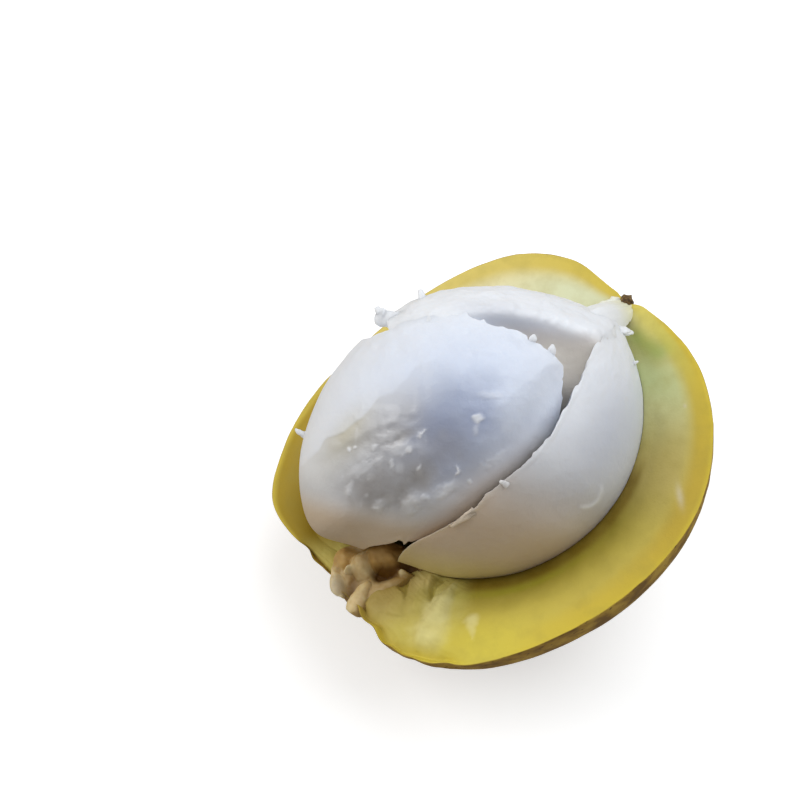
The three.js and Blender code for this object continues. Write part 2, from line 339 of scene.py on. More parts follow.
def plain_rind():
    """Radius and height, row by row, for every direction round the fruit.
    Skin: an arc of the ball. Cut face: straight, sinking by the square of the way in. Soft edge: a
    quadratic Bezier curve. Wall: the egg's surface plus a gap.
    inward is 0 on the skin, rises to 1 over the cut face, and to 2 at the floor of the hollow."""
    even = np.arange(AROUND) * 2 * np.pi / AROUND
    angle = even - CLOSER * np.sin(even - np.radians(CROWDED_ANGLE))
    polar = np.linspace(0, np.arccos(CUT_BELOW_MIDDLE / FRUIT_RADIUS), SKIN_ROWS)[:, None]
    plain = FRUIT_RADIUS * np.sin(polar)
    skin_radius = plain * (1 + rim_swell(angle) * (plain / FRUIT_RADIUS) ** 2)
    skin_height = CUT_BELOW_MIDDLE - FRUIT_RADIUS * np.cos(polar) + 0 * angle

    tight = 1 - TIGHTER * soft_bump(angle_from(angle, TIGHT_ANGLE), TIGHT_WIDTH)
    depth, dip = MOUTH_ROUNDING * tight, MOUTH_DIP * tight
    polar = np.linspace(np.pi / 2, 0, WALL_ROWS)[:, None]
    down = points_at(np.sin(polar) * np.cos(angle), np.sin(polar) * np.sin(angle), -np.cos(polar))
    reach = reach_to_egg(points_at(0, 0, -depth), down)
    reach += PULP_GAP - MOUTH_CLOSES * soft_step(polar, 1.0, 1.5)
    wall_radius = reach * np.sin(polar)
    wall_height = -depth - reach * np.cos(polar)

    mouth = wall_radius[0]
    rounding = np.minimum(depth * 1.5, 0.6 * (skin_radius[-1] - mouth))
    share = np.linspace(0, 1, FACE_ROWS + 1)[1:, None]
    face_radius = skin_radius[-1] + share * (mouth + rounding - skin_radius[-1])
    face_height = -dip * share**2 + 0 * angle
    t = np.linspace(0, 1, EDGE_ROWS + 1)[1:-1, None]
    edge_radius = quadratic(mouth + rounding, mouth + 0.2 * rounding, mouth, t)
    edge_height = quadratic(-dip, -1.25 * dip, -depth, t)

    edge_inward, wall_inward = 1 + 0.3 * t[:, 0], np.linspace(1.3, 2, WALL_ROWS)
    inward = np.concatenate([np.zeros(SKIN_ROWS), share[:, 0], edge_inward, wall_inward])
    radius = np.concatenate([skin_radius, face_radius, edge_radius, wall_radius])
    height = np.concatenate([skin_height, face_height, edge_height, wall_height])
    return angle + 0 * radius, radius, height, inward[:, None] + 0 * radius


angle, radius, height, inward = plain_rind()
plain_grid = points_at(radius * np.cos(angle), radius * np.sin(angle), height)
plain_skin = plain_grid[:SKIN_ROWS] @ HALF_TURN.T
rind_low, rind_high = (np.array(corner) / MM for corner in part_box("rind_half"))
CUT_MIDDLE = (rind_low + rind_high) / 2 - (plain_skin.min((0, 1)) + plain_skin.max((0, 1))) / 2
CUT_MIDDLE[Z] = rind_high[Z] - plain_skin[..., Z].max()
print("middle of the cut face, mm:", CUT_MIDDLE.round(2))
thickness = radius[SKIN_ROWS - 1] - radius[-WALL_ROWS]
print("flesh from hollow to skin, mm:", thickness.min().round(1), "to", thickness.max().round(1))


def from_half(grid):
    """From the half's own frame to the part's frame, in millimetres."""
    return grid @ HALF_TURN.T + CUT_MIDDLE


def from_pulp(grid):
    """From the pulp's frame to the part's frame, in millimetres."""
    return grid @ PULP_TURN.T + PULP_PLACE + CUT_MIDDLE


# %% [markdown]
# The plain rind then gets its wear and tear. The skin is faintly lumpy and dips where the stalk
# grows. The knife left the cut face a little wavy. Opposite the stalk the fruit was not cut but
# torn open, so the rim drops there and the flesh stands in ridges that run outwards.

# %% The rind with its tears
TORN_ANGLE, TORN_WIDTH, TORN_DEPTH = 172, 24, 3.0  # where the rim drops, how wide and how far
STALK_ANGLE = 9.0
# start and end of each torn ridge on the cut face, its half width at the start and its height
TORN_RIDGES = [
    ((-35.4, -24.6), (-23.4, -17.6), 3.0, 1.1), ((-31.0, -21.0), (-24.4, -17.6), 2.2, 0.8),
    ((-33.4, -17.4), (-28.6, -12.6), 1.8, 0.7), ((-37.4, -15.2), (-33.0, -11.2), 1.9, 0.6),
    ((-26.4, -14.6), (-31.6, -19.0), 1.4, -1.6), ((-32.4, -10.4), (-35.0, -14.6), 0.9, -1.0),
    ((-41.0, -14.6), (-37.0, -18.0), 1.2, -0.3), ((-27.0, -29.0), (-29.4, -33.2), 1.1, 1.1),
    ((-36.5, -22.5), (-40.5, -26.5), 2.2, 0.6), ((-28.0, -27.6), (-24.0, -27.0), 1.6, -0.4),
]
# tints of one side of the cut face: its direction and half width in degrees, then soft steps of
# inward that it comes in or fades out by
SIDE_TINTS = {
    "olive": (-9, 13, (0.08, 0.2), (0.55, 0.35)),
    "pale_green": (24, 24, (0.22, 0.55)),
    "pale_side": (-28, 18, (0.25, 0.55)),
    "amber": (-60, 26, (0.01, 0.1), (0.5, 0.25)),
    "tan": (-52, 15, (0.2, 0.6)),
    # painted light: low on the torn side the flesh by the rim is lightened, as if more lamp light fell
    # there
    "painted_sunlight": (-131, 20, (0.9, 0.3)),
}
# tints of the torn flesh: place, direction, half length and half width
TORN_TINTS = {
    "khaki": ((-39.2, -11), -45, 8.5, 5.5),
    # painted light: the flesh beside the tip of the right segment is lightened against the shade that falls
    # there
    "painted_light_by_tip": ((-28.6, -12.8), -45, 4.5, 3),
    # brown of the torn flesh, darkened further as painted shade of the pit under the tissue
    "brown": ((-34.2, -8.6), -42, 5.6, 2.6),
}


def side_tint(middle, width, *fades):
    """A soft bump of the angle round the fruit, times every fade."""
    tint = soft_bump(angle_from(angle, middle), width)
    for fade in fades:
        tint = tint * soft_step(inward, *fade)
    return tint


def torn_rind():
    """The plain rind, moved by noise and by the tears, and the shares that colour it."""
    grid = plain_grid.copy()
    x, y = plain_grid[..., X], plain_grid[..., Y]
    open_side = soft_step(inward, 0, 0.08) * soft_step(inward, 1.6, 1.2)
    near_rim = soft_bump(np.where(inward > 0, inward * 14, (height / 9) ** 2 * 3), 2.2)

    tear = TORN_DEPTH * (1 - soft_step(angle_from(angle, TORN_ANGLE), 0, TORN_WIDTH))
    above = soft_step(height, -6, -0.5)
    grid[..., Z] -= np.where(inward > 0, soft_step(inward, 1.7, 1.1), above) * tear

    torn = soft_step(angle_from(angle, -166), 34, 26)
    bent_x, bent_y = (
        v + 0.5 * soft_noise(grid, 3, seed) + 0.25 * soft_noise(grid, 1, seed)
        for v, seed in ((x, 43), (y, 44))
    )
    ridges = sum(h * wedge(bent_x, bent_y, a, b, w) for a, b, w, h in TORN_RIDGES)
    arc = np.radians(angle_from(angle, 0)) * radius
    fibres = soft_noise(on_plane(radius * 0.22, arc), 0.9, 41)
    fibres += 0.6 * soft_noise(on_plane(radius * 0.3, arc), 0.45, 42)
    _, beyond_cut = along_across(x, y, (-27.3, -30.5), -127)
    sunk = 0.9 * soft_step(beyond_cut, 0.35, -0.35) + 1.6 * soft_step(inward, 0.3, 0)
    facets = ridges + 0.06 * fibres + 0.2 * layered_noise(grid, 3, 45, 4)
    grid[..., Z] += torn * open_side * (facets - sunk)

    pit = 1.8 * stroke(x, y, (-35.8, -5.5), (-31.3, -7.4), 2.0) + 1.6 * oval(x, y, (-42, -4.5), 30, 5, 3.5)
    grid[..., Z] += open_side * (0.3 * layered_noise(grid, 9, 3) - pit)
    outwards = grid / np.linalg.norm(grid + 1e-9, axis=-1, keepdims=True)
    lumps = 0.25 * soft_noise(grid, 14, 5) + 0.06 * soft_noise(grid, 4, 6)
    nibbled = 0.1 * soft_noise(grid, 2.2, 7) + torn * (0.9 * soft_noise(grid, 3.5, 8) - 0.4)
    stalk_dip = 1.3 * soft_bump(angle_from(angle, STALK_ANGLE), 2.8) * soft_step(height, -9, -1)
    push = soft_step(inward, 0.1, 0) * lumps + near_rim * nibbled - stalk_dip * soft_step(inward, 0.6, 0)
    grid += push[..., None] * outwards

    # painted light on the raised torn ridges, and painted shade in the grooves between them
    ridge_light, groove_shade = (
        sum(wedge(bent_x, bent_y, a, b, wider * w) for a, b, w, h in TORN_RIDGES if side * h > 0.7)
        for side, wider in ((1, 1.3), (-1, 1.0))
    )
    shares = {name: side_tint(*tint) for name, tint in SIDE_TINTS.items()}
    shares |= {name: oval(bent_x, bent_y, *tint) * (inward > 0) for name, tint in TORN_TINTS.items()}
    shares |= {
        "inward": inward,
        "torn": torn * soft_step(inward, 0.02, 0.15),
        "green": oval(x, y, (36.5, -11), -72, 11, 5) * soft_step(inward, 0.3, 0.55),
        "deep_green": stroke(x, y, (41.2, -1.4), (41.8, -8.6), 2.4) * soft_step(y, -14, -7),
        "cream": soft_bump(angle_from(angle, 72), 44) * (0.22 + 0.78 * soft_step(inward, 0.18, 0.5)),
        "scar": oval(x, y, (22.5, -38.1), 60, 2.6, 0.7) + oval(x, y, (37.2, -22.4), 20, 0.5, 0.3),
        "shaded": soft_step(angle_from(angle, 140), 50, 20) * soft_step(inward, 0.02, 0.2),
        # painted shade in the grooves and painted light on the ridge tops
        "groove": np.clip(groove_shade, 0, 1),
        "ridge_top_painted_light": np.clip(ridge_light, 0, 1),
        # painted shade under the pulp at the edge of the hollow: dark brown inside it, and an olive line
        # along the edge that is partly the flesh's own green
        "olive_margin_and_shade": soft_bump(inward - 1.0, 0.05) * soft_bump(angle_from(angle, -116), 26),
        "painted_shadow_under_pulp": soft_step(inward, 0.98, 1.1) * soft_step(angle_from(angle, -95), 50, 38),
        "sunlit_side": oval(x, y, (45.0, 0.2), 75, 5.5, 2.6) * (inward > 0),
    }
    return grid, shares


rind_grid, rind_shares = torn_rind()
rind_grid = from_half(rind_grid)
rind_grid[..., Z] = np.maximum(rind_grid[..., Z], 0)
rind = closed_surface("rind", [rind_grid], {key: [value] for key, value in rind_shares.items()})

# %% [markdown]
# ## The dry stalk stub
# A short piece of the stalk is still on, dry and fibrous. It is a turned shape, so a radius that
# changes along an axis is enough, with the fibres as small waves round it.

# %% Stub
STUB_START, STUB_DIRECTION, STUB_LENGTH = (43.2, 6.9, -0.5), (1, 0.16, 0.16), 3.9
STUB_RADII = [0, 1.2, 1.5, 1.5, 1.48, 1.45, 1.48, 1.52, 1.56, 1.58, 1.56, 1.46, 1.25, 0.95, 0.6, 0]
STUB_DROOP = 0.35 * np.array([1, 0.14, 0.12])  # how far the middle of its broken end sinks in


def turned(start, towards, length, radii, columns, fibre, seed):
    """Rings along a straight axis. radii are spread evenly from start to end, and fibre is the depth
    of the lengthwise grooves."""
    towards = np.asarray(towards, float) / np.linalg.norm(towards)
    side = np.cross(towards, [0, 0, 1.0])
    side /= np.linalg.norm(side)
    over = np.cross(side, towards)
    t = np.linspace(0, 1, len(radii))[:, None]
    around = np.arange(columns) * 2 * np.pi / columns
    wave = 1 + fibre * soft_noise(on_plane(np.cos(around), np.sin(around)), 0.35, seed)
    ring = np.asarray(radii)[:, None] * wave
    spread = (np.cos(around) * ring)[..., None] * side + (np.sin(around) * ring)[..., None] * over
    return np.asarray(start) + (t * length)[..., None] * towards + spread


stub_grid = turned(STUB_START, STUB_DIRECTION, STUB_LENGTH, STUB_RADII, columns=48, fibre=0.06, seed=51)
stub_grid += 0.06 * soft_noise(stub_grid, 0.8, 52)[..., None]
stub_grid[-5:-1] -= STUB_DROOP * np.linspace(0, 1, 4)[:, None, None]
stub = closed_surface("stub", [from_half(stub_grid)])

# %% [markdown]
# ## The pulp's segments
# Each segment takes a stretch of the egg's outline and has its own inner edge. Its open side is a
# height over the outline, and the rest of it falls steeply to the egg's underside, as the segments
# of an orange do.

# %% From outline to segment
FOLLOWING = 0.4  # share of the rows below the equator that follow the egg's edge
PULP_SHARES = ("seed", "bluish_veil_and_shade", "seed_grey", "dark_pockets_and_shade", "fleck", "low", "glow")


def pole_to_pole(rows, columns):
    """Angles from the upper pole, rows[0] of them down to the equator and rows[1] on to the lower one."""
    upper, lower = np.linspace(0, np.pi / 2, rows[0]), np.linspace(np.pi / 2, np.pi, rows[1] + 1)[1:]
    return np.concatenate([upper, lower])[:, None] + np.zeros(columns)


def round_the_egg(x, y, z, turn, equator, middle):
    """Where the equator lies just inside the egg's outline, the rows below it first follow the egg's
    surface outwards and back in, and only then run along its underside."""
    rim_x, rim_y = x[equator], y[equator]
    share = np.minimum(egg_share(rim_x, rim_y), PULP_SIZE)
    below = np.clip(turn / (np.pi / 2) - 1, 0, 1)
    round_z = egg_height(rim_x, rim_y) * np.cos(np.pi * np.clip(below / FOLLOWING, 0, 1))
    wider = PULP_SIZE * np.sqrt(1 - (round_z / PULP_HEIGHT) ** 2) / share
    inwards = np.cos(np.pi / 2 * np.clip((below - FOLLOWING) / (1 - FOLLOWING), 0, 1))
    round_x = middle[0] + inwards * (rim_x * wider - middle[0])
    round_y = middle[1] + inwards * (rim_y * wider - middle[1])
    round_z = np.where(below < FOLLOWING, round_z, -egg_height(round_x, round_y))
    share = share / PULP_SIZE
    follow = soft_step(share, 0.93, 0.97) * soft_step(share, 1.0, 0.99) * (below > 0)
    return x + follow * (round_x - x), y + follow * (round_y - y), z + follow * (round_z - z)


def segment_grid(height, middle, outer, inner, relief, rows, columns, ragged, lip, seed):
    """A ball whose equator is pulled to the segment's outline. Row by row, reach is the sine of the
    angle from the pole. Above the equator the height is the open side's, plus relief. Below it the
    height falls with the 8th power of reach to the egg's underside."""
    outline = [(PULP_SIZE * x, PULP_SIZE * y) for x, y in outer] + list(inner)
    rim = closed_curve(outline, columns)
    rim *= np.minimum(1, PULP_SIZE / egg_share(*rim.T))[:, None]
    along = np.arange(columns) * len(outline) / columns
    first, last = len(outer) - 0.9, len(outline)
    is_inner = soft_step(along, first, first + 1) * soft_step(along, last, last - 0.8)

    flat = on_plane(*rim.T)
    jag = soft_noise(flat, 1.3, seed) ** 3 * 2.5 + 0.8 * soft_noise(flat, 4.5, seed + 1)
    jag = jag + 0.2 * soft_noise(flat, 0.9, seed + 3) + 0.7 * soft_noise(flat, 2.2, seed + 4)
    jag *= ragged * is_inner * soft_step(egg_share(*rim.T), 0.97, 0.85)
    offset = rim - middle
    turn = pole_to_pole(rows, columns)
    reach = np.sin(turn)
    pulled = reach * (1 + jag * reach**10 / np.hypot(*offset.T))
    upright = np.where(turn > np.pi / 2, pulled / np.sqrt(np.maximum(reach, 1e-9)), pulled)
    x, y = (middle[k] + upright * offset[:, k] for k in (X, Y))

    uneven = 1 + 1.2 * soft_noise(on_plane(x, y), 2, seed + 2)
    lift_lip = lip * is_inner * soft_step(reach, 0.88, 0.97) * uneven
    bump, shares = relief(x, y)
    top = height(x, y) + soft_step(reach, 1, 0.93) * bump + lift_lip
    equator = rows[0] - 1
    lift = top[equator] + egg_height(x[equator], y[equator])
    lower = -egg_height(x, y) + lift * reach**8
    z = np.where(turn <= np.pi / 2 + 1e-9, top, lower)
    x, y, z = round_the_egg(x, y, z, turn, equator, middle)

    points = points_at(x, y, z)
    rough = 0.25 * soft_noise(points, 3.5, seed + 5) + 0.1 * soft_noise(points, 1.2, seed + 6)
    rough *= soft_step(y, 2, 22) * (1 - is_inner * soft_step(turn, 1.2, 1.5))
    points += rough[..., None] * points / np.linalg.norm(points + 1e-9, axis=-1, keepdims=True)
    points[..., Z] += egg_bend(x, y)
    return points, {key: shares.get(key, 0) + 0 * z for key in PULP_SHARES}


# %% [markdown]
# ## Three segments
# The front segment is the big blunt one, with the seed showing blue and grey through it. The right
# one is a crescent that laps over it with a ragged lip. The back one has a long smooth hollow where
# its neighbour pulled away.

# %% Heights and relief of the open sides
# lumps of the front segment: place, direction, half length, half width, height, and how white
FRONT_LUMPS = [
    ((-20.4, -9.6), 36, 5.0, 1.1, 0.3, 0.35), ((-13.0, -4.8), 10, 3.4, 1.5, 0.3, 0.45),
    ((-24.0, -5.9), 0, 0.5, 0.5, 0.3, 0.9), ((-22.6, -5.6), 0, 0.5, 0.4, 0.25, 0.9),
    ((-18.4, -5.2), 20, 1.0, 0.6, 0.3, 0.5), ((-11.4, -5.0), 70, 1.2, 0.8, 0.35, 0.8),
    ((-9.0, -1.4), 45, 1.2, 0.35, 0.3, 0.8), ((-10.1, -15.9), 60, 2.6, 2.1, 0.7, 0.4),
    ((-16.5, -16.8), 80, 1.7, 1.6, 0.5, 0.35), ((-17.2, -17.2), 0, 1.0, 0.5, 0.4, 0.9),
    ((-3.4, -12.3), 42, 3.0, 1.3, 0.45, 0.6), ((-7.4, -14.4), 20, 1.3, 0.8, 0.3, 0.4),
    ((-1.4, -8.4), 80, 1.0, 0.4, 0.5, 0.9), ((1.2, -10.2), 0, 0.5, 0.4, 0.3, 0.7),
    ((1.6, 2.6), 80, 1.1, 1.0, 0.3, 0.85), ((1.4, 0.6), 85, 1.5, 0.7, 0.15, 0.3),
    ((-23.0, -13.8), 80, 2.0, 0.9, 0.3, 0.4), ((-14.6, -8.2), 100, 1.3, 0.5, 0.2, 0.5),
    ((-9.2, -8.2), 60, 0.8, 0.4, 0.2, 0.5), ((-16.0, -3.0), 30, 2.2, 1.2, 0.3, 0.3),
    ((5.6, -5.4), 40, 4.0, 0.9, 0.25, 0.3), ((3.6, 7.4), 5, 3.0, 0.8, 0.2, 0.25),
]
# darker places of the front segment: place, direction, half length, half width and strength
FRONT_DARKS = [
    ((-17.6, -13.6), 8, 6.48, 3.6, 1.0), ((-9.0, -10.4), 60, 5.76, 3.6, 0.85),
    ((-4.0, -5.0), 60, 6.0, 4.8, 0.5), ((-14.0, -2.4), 20, 4.32, 1.2, 0.4),
    ((-12.0, -13.8), 0, 4.32, 3.6, 0.8), ((-22.6, -15.6), 90, 3.12, 1.68, 0.5),
]
# the right segment's crease is part of a circle
CREASE_MIDDLE, CREASE_RADIUS = (24.7, -9.9), 3.5
BOWL = ((12, 14), -8)  # middle and direction of the back segment's hollow
BOWL_FLOOR, BOWL_BLEND = 13.5, 3.4


def front_height(x, y):
    """The egg, less the square of the distance towards the right segment."""
    along, _ = along_across(x, y, (0, 0), -35)
    return egg_height(x, y) - 0.045 * np.maximum(0, along) ** 2


def front_relief(x, y):
    """Lumps and shallow folds round the place where the seed shows through, which is a little sunk.
    To the upper left of it a thin layer has peeled off, down to a small step."""
    place = on_plane(x, y)
    wobble = 2.0 * soft_noise(place, 5, 61) + 1.0 * soft_noise(place, 2.2, 62)
    along, across = along_across(x + wobble, y + 0.8 * wobble, (-10.0, -4.0), 28)
    distance = np.hypot(along / np.where(along > 0, 22, 20), across / 12.8)
    small = 0.45 * soft_noise(place, 1.1, 67) + 0.25 * soft_noise(place, 0.5, 68)
    lumps, white, dark = 0 * x, 0 * x, 0 * x
    for spot, degrees, long, short, lift, whiteness in FRONT_LUMPS:
        shape = soft_step(oval(x + small, y - small, spot, degrees, long, short), 0.1, 0.95)
        lumps = np.maximum(lumps, lift * shape)
        white = np.maximum(white, whiteness * shape)
    drift = 0.5 * wobble
    for *spot, strength in FRONT_DARKS:
        dark = np.maximum(dark, strength * oval(x + drift, y - drift, *spot))
    folds = soft_noise(place, 2.0, 63)
    rough = soft_step(distance, 1.25, 0.8) * soft_step(along, 10, -2)
    bump = 0.8 * lumps - 0.6 * dark + rough * (0.12 * folds + 0.03 * soft_noise(place, 0.9, 64))
    bump += 0.3 * layered_noise(place, 7, 65)
    sunk = soft_step(across + 0.6 * wobble, 7.2, 4.4) * soft_step(along, -1, -8)
    bump -= 0.45 * sunk * soft_step(distance, 1.5, 1.0)

    peel_along, peel_across = along_across(x + 0.5 * small, y - 0.5 * small, (-22.5, 0.5), 43)
    peel_across += 1.5 * soft_noise(place, 3.4, 66) + 0.4 * small
    peel = soft_step(peel_across, 0.35, -0.35) * soft_step(peel_across, -11, -4) * soft_bump(peel_along, 15)
    bump -= 0.34 * peel * soft_step(peel_along, 5, -7)

    specks = soft_step(soft_noise(place, 1.1, 69), 0.45, 0.9)
    white = 0.9 * white + rough * (0.2 * soft_step(folds, 0, 0.6) + 0.25 * specks)
    # painted shade along the right segment's lip
    lip_shade = stroke(x, y, (16, -5), (-2, -20), 4.6)
    lowest = y + 0.1 * x
    # the seed's dark places, with painted shade added low down and along the lip
    dark_pockets_and_shade = dark * (0.75 + 0.3 * folds) + 0.26 * peel + 0.3 * soft_step(lowest, -13, -19) + 0.2 * lip_shade
    return bump, {
        "seed": soft_step(distance, 1.3, 0.25),
        # painted shade: the top that faces the lamp is darkened, and made bluish besides
        "bluish_veil_and_shade": 0.95 * oval(x, y, (-2, 9), 18, 23, 14) * (1 - lip_shade),
        "seed_grey": np.clip(soft_step(along - 0.5 * across, 9, -9) + 0.6 * dark, 0, 1),
        "dark_pockets_and_shade": np.clip(dark_pockets_and_shade, 0, 1),
        "fleck": np.clip(white, 0, 1),
        # the low tint is warm painted shade on the lowest part of the segment and along the lip
        "low": np.clip(0.95 * soft_step(lowest, -17.5, -24) + 0.6 * lip_shade, 0, 1),
        # painted light: yellow from the rind on the segment's left side and over the peeled layer
        "glow": 0.2 * oval(x, y, (-25.0, -2.5), 60, 6, 2.4) + 0.15 * peel * soft_step(x, -16, -24),
    }


def right_relief(x, y):
    """Almost smooth, with one small curved crease."""
    from_circle = np.hypot(x - CREASE_MIDDLE[0], y - CREASE_MIDDLE[1]) - CREASE_RADIUS
    crease = soft_bump(from_circle, 0.55) * soft_step(x, 23.2, 25.2) * soft_step(y, -7.8, -9.6)
    lowest = y + 0.3 * x
    # the tints paint this segment's shade, greyer and warmer downwards: a blue-grey patch and a darker band
    # in the middle, a bluish veil on the right and beige below; the glow at the bottom is painted yellow
    # light from the rind
    return 0.25 * layered_noise(on_plane(x, y), 8, 71) + 0.3 * crease, {
        "seed": 0.42 * oval(x, y, (29, 0), 70, 14, 8),
        "seed_grey": 0.5,
        "fleck": 0.45 * crease,
        "bluish_veil_and_shade": 0.5 * oval(x, y, (34, 4), 75, 15, 7),
        "dark_pockets_and_shade": 0.45 * soft_bump(lowest + 6.5, 9),
        "low": soft_step(lowest, 0, -18),
        "glow": 0.75 * soft_step(y + 0.1 * x, -23.5, -32),
    }


def back_height(x, y):
    """The lower of the egg and a long bowl, blended over a few millimetres. The bowl rises by the
    square of the distance towards the outer edge, and less so towards its left end."""
    along, across = along_across(x, y, *BOWL)
    bowl = BOWL_FLOOR + 0.042 * np.maximum(across, 0) ** 2 - 0.06 * np.minimum(across, 0) ** 2
    bowl += 0.014 * np.minimum(along, 0) ** 2 + 0.008 * np.maximum(along - 8, 0) ** 2
    right_end = soft_step(x - 0.3 * y, 19.5, 23.5)
    bowl -= 2.5 * right_end
    egg = egg_height(x, y)
    share = np.clip(0.5 + 0.5 * (bowl - egg) / BOWL_BLEND, 0, 1)
    lower = bowl * (1 - share) + egg * share - BOWL_BLEND * share * (1 - share)
    under_front = soft_step(y, 21, 18) * soft_step(x, -4, -10)
    return lower - right_end - 1.2 * under_front


def back_relief(x, y):
    """Small lumps on the ridge, and nothing in the hollow."""
    place = on_plane(x, y)
    along, across = along_across(x, y, *BOWL)
    ridge = soft_step(across, 7, 11)
    hollow = across - 0.12 * along
    # the tints paint shade in the hollow, lavender at its upper edge and beige lower down, and its glow is
    # painted yellow light from the rind
    return ridge * (0.35 * layered_noise(place, 4, 81) + 0.15 * soft_noise(place, 1.2, 82)), {
        "seed": 0.7 * oval(x, y, (6.5, 22.5), -10, 9, 3.2),
        "seed_grey": 0.8,
        "low": 0.5 * soft_step(hollow, 10.5, 6) * soft_step(along, -16, -2),
        "glow": 0.12 * soft_step(hollow, 9, 4) * soft_step(along, -6, 4),
    }


# %% The segments
SEGMENTS = {
    "pulp_front": dict(
        height=front_height, relief=front_relief, middle=(-8.5, -1.5), outer=EGG_OUTLINE[7:13],
        inner=[(-14.4, -24.6), (-4.2, -22), (7, -16), (14, -9), (17.2, 1), (18.2, 9.5), (16.8, 15.5),
               (10.6, 19.7), (2, 22), (-6, 23), (-15.5, 21)],
        rows=(132, 36), columns=480, ragged=0.6, lip=0.0, seed=11,
    ),
    "pulp_right": dict(
        height=egg_height, relief=right_relief, middle=(24, -7), outer=EGG_OUTLINE[13:] + EGG_OUTLINE[:1],
        inner=[(27.5, 24), (24, 20), (21.8, 13), (18.6, 6), (14.8, -2), (7.5, -9.8), (1, -16.8),
               (-5.2, -21.2), (-10.3, -24.8)],
        rows=(110, 36), columns=560, ragged=0.9, lip=0.15, seed=21,
    ),
    "pulp_back": dict(
        height=back_height, relief=back_relief, middle=(8.5, 19), outer=EGG_OUTLINE[:7],
        inner=[(-14, 14), (0, 6), (12, 1), (20, 1), (26, 12), (30, 20)],
        rows=(100, 30), columns=480, ragged=0.8, lip=0, seed=31,
    ),
}

# %% [markdown]
# ## Shreds and strands
# Torn pulp leaves small pointed shreds, and strands tie the segments to the stalk. Both are tubes
# along a bent line, flat rather than round, with noise in their width. One function makes them all.


# %% Tube along a bent line
def strand(points, widths, flat, rows, columns, seed, fibre=0.0):
    """Rings along the quadratic curve through start, bend and end. The width runs smoothly through
    the widths given, and each ring is an ellipse with its short side upwards, and with grooves
    that run lengthwise."""
    a, b, c = (np.asarray(p, float) for p in points)
    t = np.linspace(0, 1, rows)[:, None]
    path = quadratic(a, b, c, t)
    towards = 2 * (1 - t) * (b - a) + 2 * t * (c - b)
    towards /= np.linalg.norm(towards, axis=1, keepdims=True)
    side = np.cross(towards, [0.05, 0.02, 1.0])
    side /= np.linalg.norm(side, axis=1, keepdims=True)
    over = np.cross(side, towards)
    width = np.interp(t[:, 0], np.linspace(0, 1, len(widths)), widths)
    width[[0, -1]] = 0
    around = np.arange(columns) * 2 * np.pi / columns
    circle = on_plane(np.cos(around), np.sin(around))
    groove = points_at(np.cos(around), np.sin(around), t * 0.8 + seed)
    ring = 1 + 0.25 * soft_noise(path[:, None] + 0.7 * circle, 0.8, seed)
    ring += fibre * soft_noise(groove, 0.3, seed + 1)
    ring *= width[:, None]
    across, upwards = ring * np.cos(around), flat * ring * np.sin(around)
    return path[:, None] + across[..., None] * side[:, None] + upwards[..., None] * over[:, None]


# %% The segments with their shreds
# root, bend and tip of each shred in the pulp's frame, its width, and how blunt its tip is
SHREDS = {
    "pulp_front": [
        ((10.6, 18.2, 21.2), (11.2, 19.6, 22.0), (11.3, 20.8, 22.3), 1.0, 0.2),
        ((14.9, 16.4, 21.0), (15.3, 17.8, 21.6), (15.2, 19.2, 21.6), 0.9, 0.2),
        ((-34.6, -4.2, 2.0), (-36.4, -3.6, 2.0), (-37.4, -2.8, 1.7), 0.7, 0.3),
    ],
    "pulp_right": [
        ((3.0, -15.6, 26.0), (0.8, -17.4, 26.3), (-2.0, -19.8, 24.6), 0.7, 0.5),
        ((8.9, -10.2, 28.3), (8.0, -9.6, 29.0), (7.0, -9.5, 28.8), 0.6, 0.6),
        ((32.4, 17.4, 0.5), (33.8, 18.0, 0.7), (34.4, 18.5, 0.3), 0.42, 0.5),
    ],
    "pulp_back": [
        ((-15.0, 21.2, 9.6), (-19.6, 22.4, 8.4), (-22.3, 21.8, 6.6), 2.0, 0.7),
        ((-19.4, 22.4, 8.0), (-21.6, 23.4, 7.4), (-22.2, 24.4, 6.6), 1.1, 0.6),
        ((-12.2, 25.4, 6.0), (-13.0, 27.8, 5.0), (-13.4, 29.3, 3.8), 0.9, 0.5),
    ],
}
SHRED_SHARES = ("low", "glow")  # a shred takes only these tints over from its segment: the painted shade low down and the painted yellow light from the rind
segments = {}
for name, spec in SEGMENTS.items():
    grid, shares = segment_grid(**spec)
    grids, shares = [grid], {key: [value] for key, value in shares.items()}
    for n, (*path, width, blunt) in enumerate(SHREDS[name]):
        widths = width * np.array([1.3, 1, 0.8, blunt])
        shred = strand(path, widths, flat=0.55, rows=14, columns=16, seed=201 + n)
        _, local = spec["relief"](shred[..., X], shred[..., Y])
        grids.append(shred)
        for key, values in shares.items():
            values.append(local.get(key, 0) * (key in SHRED_SHARES) + 0 * shred[..., X])
    segments[name] = closed_surface(name, [from_pulp(grid) for grid in grids], shares)

# %% [markdown]
# ## The neck
# Where the segments meet, their white tissue runs on to the stalk as a short web. Its left edge, its
# crest and its right edge are three lines from the pulp to the rim, and every cross-section is the
# parabola through them. Noise that is long in one direction gives it fibres.

# %% Web and strands of the neck
NECK_LEFT = [(32.0, 6.0, 13.0), (37.0, 9.6, 4.0), (41.0, 9.9, 0.9), (45.0, 9.0, -0.9)]
NECK_CREST = [(33.0, 0.5, 15.6), (38.6, 2.0, 12.6), (41.6, 4.6, 5.0), (45.2, 6.6, -0.1)]
NECK_RIGHT = [(35.0, -4.8, 11.4), (39.0, -2.0, 5.8), (40.8, 1.8, 0.5), (46.2, 5.0, -1.4)]
NECK_THICKNESS = 2.2
